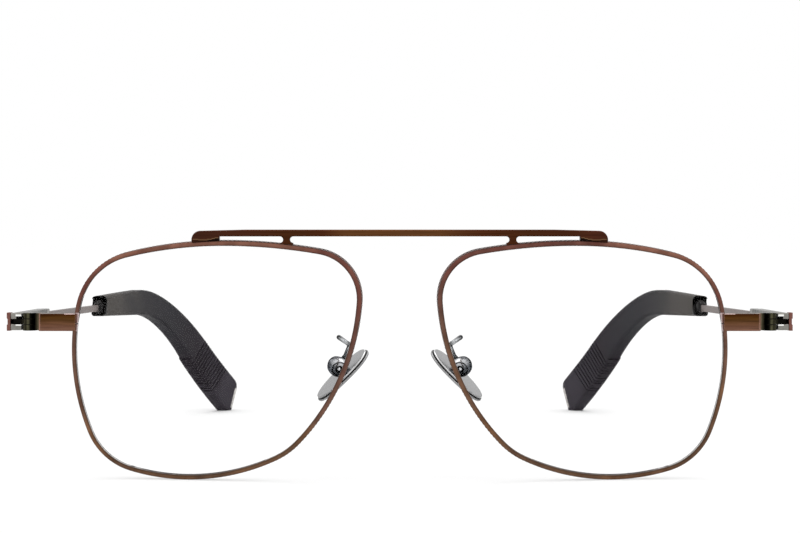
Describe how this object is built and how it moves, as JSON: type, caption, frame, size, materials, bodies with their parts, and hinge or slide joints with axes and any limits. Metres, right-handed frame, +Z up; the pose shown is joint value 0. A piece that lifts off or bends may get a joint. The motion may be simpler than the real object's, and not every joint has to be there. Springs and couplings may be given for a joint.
{
  "type": "spectacle frame",
  "caption": "Metal spectacle frame with a straight brow bar over squared rims, adjustable nose pads and thin temples in dark sleeves.",
  "frame": {"origin": "on the surface that the open frame stands on, under the middle of its width and depth", "axes": "+X to the wearer's left, +Y back from the lenses towards the wearer, +Z up"},
  "size_m": [0.1462, 0.143, 0.0463],
  "materials": {
    "brow_bar_brown": "dark brown antique metal, brushed along the bar",
    "rim_copper": "reddish antique copper, brushed, with dark edges",
    "clear_lens": "clear, polished",
    "end_piece_brown": "brown antique metal, brushed across",
    "cover_brown": "brown antique metal, fluted",
    "hinge_dark": "black plated, satin",
    "screw_steel": "turned steel",
    "washer_white": "moulded, low friction",
    "block_silver": "satin silver",
    "wire_taupe": "satin grey, drawn",
    "collar_black": "glossy black",
    "sleeve_charcoal": "matte charcoal, fine ribs at the tip",
    "tip_silver": "polished",
    "pad_metal": "polished gunmetal",
    "pad_silver": "polished silver"
  },
  "bodies": {
    "front": {"brow_bar": "brow_bar_brown", "left_rim": "rim_copper", "left_lens": "clear_lens", "left_end_piece": "end_piece_brown", "left_rim_lock": "rim_copper", "left_rim_lock_screw": "screw_steel", "left_hinge_clevis": "hinge_dark", "left_hinge_screw": "screw_steel", "left_hinge_washers": "washer_white", "left_pad_arm": "pad_metal", "left_pad_screw": "screw_steel", "right_rim": "rim_copper", "right_lens": "clear_lens", "right_end_piece": "end_piece_brown", "right_rim_lock": "rim_copper", "right_rim_lock_screw": "screw_steel", "right_hinge_clevis": "hinge_dark", "right_hinge_screw": "screw_steel", "right_hinge_washers": "washer_white", "right_pad_arm": "pad_metal", "right_pad_screw": "screw_steel"},
    "left_temple": {"left_hinge_tongue": "hinge_dark", "left_temple_block": "block_silver", "left_temple_ferrule": "block_silver", "left_temple_cover": "cover_brown", "left_temple_wire": "wire_taupe", "left_sleeve_collar": "collar_black", "left_temple_sleeve": "sleeve_charcoal", "left_tip_plate": "tip_silver"},
    "left_pad": {"left_pad_stem": "pad_metal", "left_nose_pad": "pad_silver"},
    "right_temple": {"right_hinge_tongue": "hinge_dark", "right_temple_block": "block_silver", "right_temple_ferrule": "block_silver", "right_temple_cover": "cover_brown", "right_temple_wire": "wire_taupe", "right_sleeve_collar": "collar_black", "right_temple_sleeve": "sleeve_charcoal", "right_tip_plate": "tip_silver"},
    "right_pad": {"right_pad_stem": "pad_metal", "right_nose_pad": "pad_silver"}
  },
  "joints": [
    {"name": "left_temple_fold", "type": "hinge", "parent": "front", "child": "left_temple", "pos_m": [0.06889, -0.06351, 0.02925], "axis": [0, 0, 1], "range_deg": [0, 79]},
    {"name": "right_temple_fold", "type": "hinge", "parent": "front", "child": "right_temple", "pos_m": [-0.06889, -0.06351, 0.02925], "axis": [0, 0, -1], "range_deg": [0, 70]},
    {"name": "left_pad_rock", "type": "hinge", "parent": "front", "child": "left_pad", "pos_m": [0.012, -0.06158, 0.02085], "axis": [0, 1, 0], "range_deg": [-10, 10]},
    {"name": "right_pad_rock", "type": "hinge", "parent": "front", "child": "right_pad", "pos_m": [-0.012, -0.06158, 0.02085], "axis": [0, 1, 0], "range_deg": [-10, 10]}
  ]
}
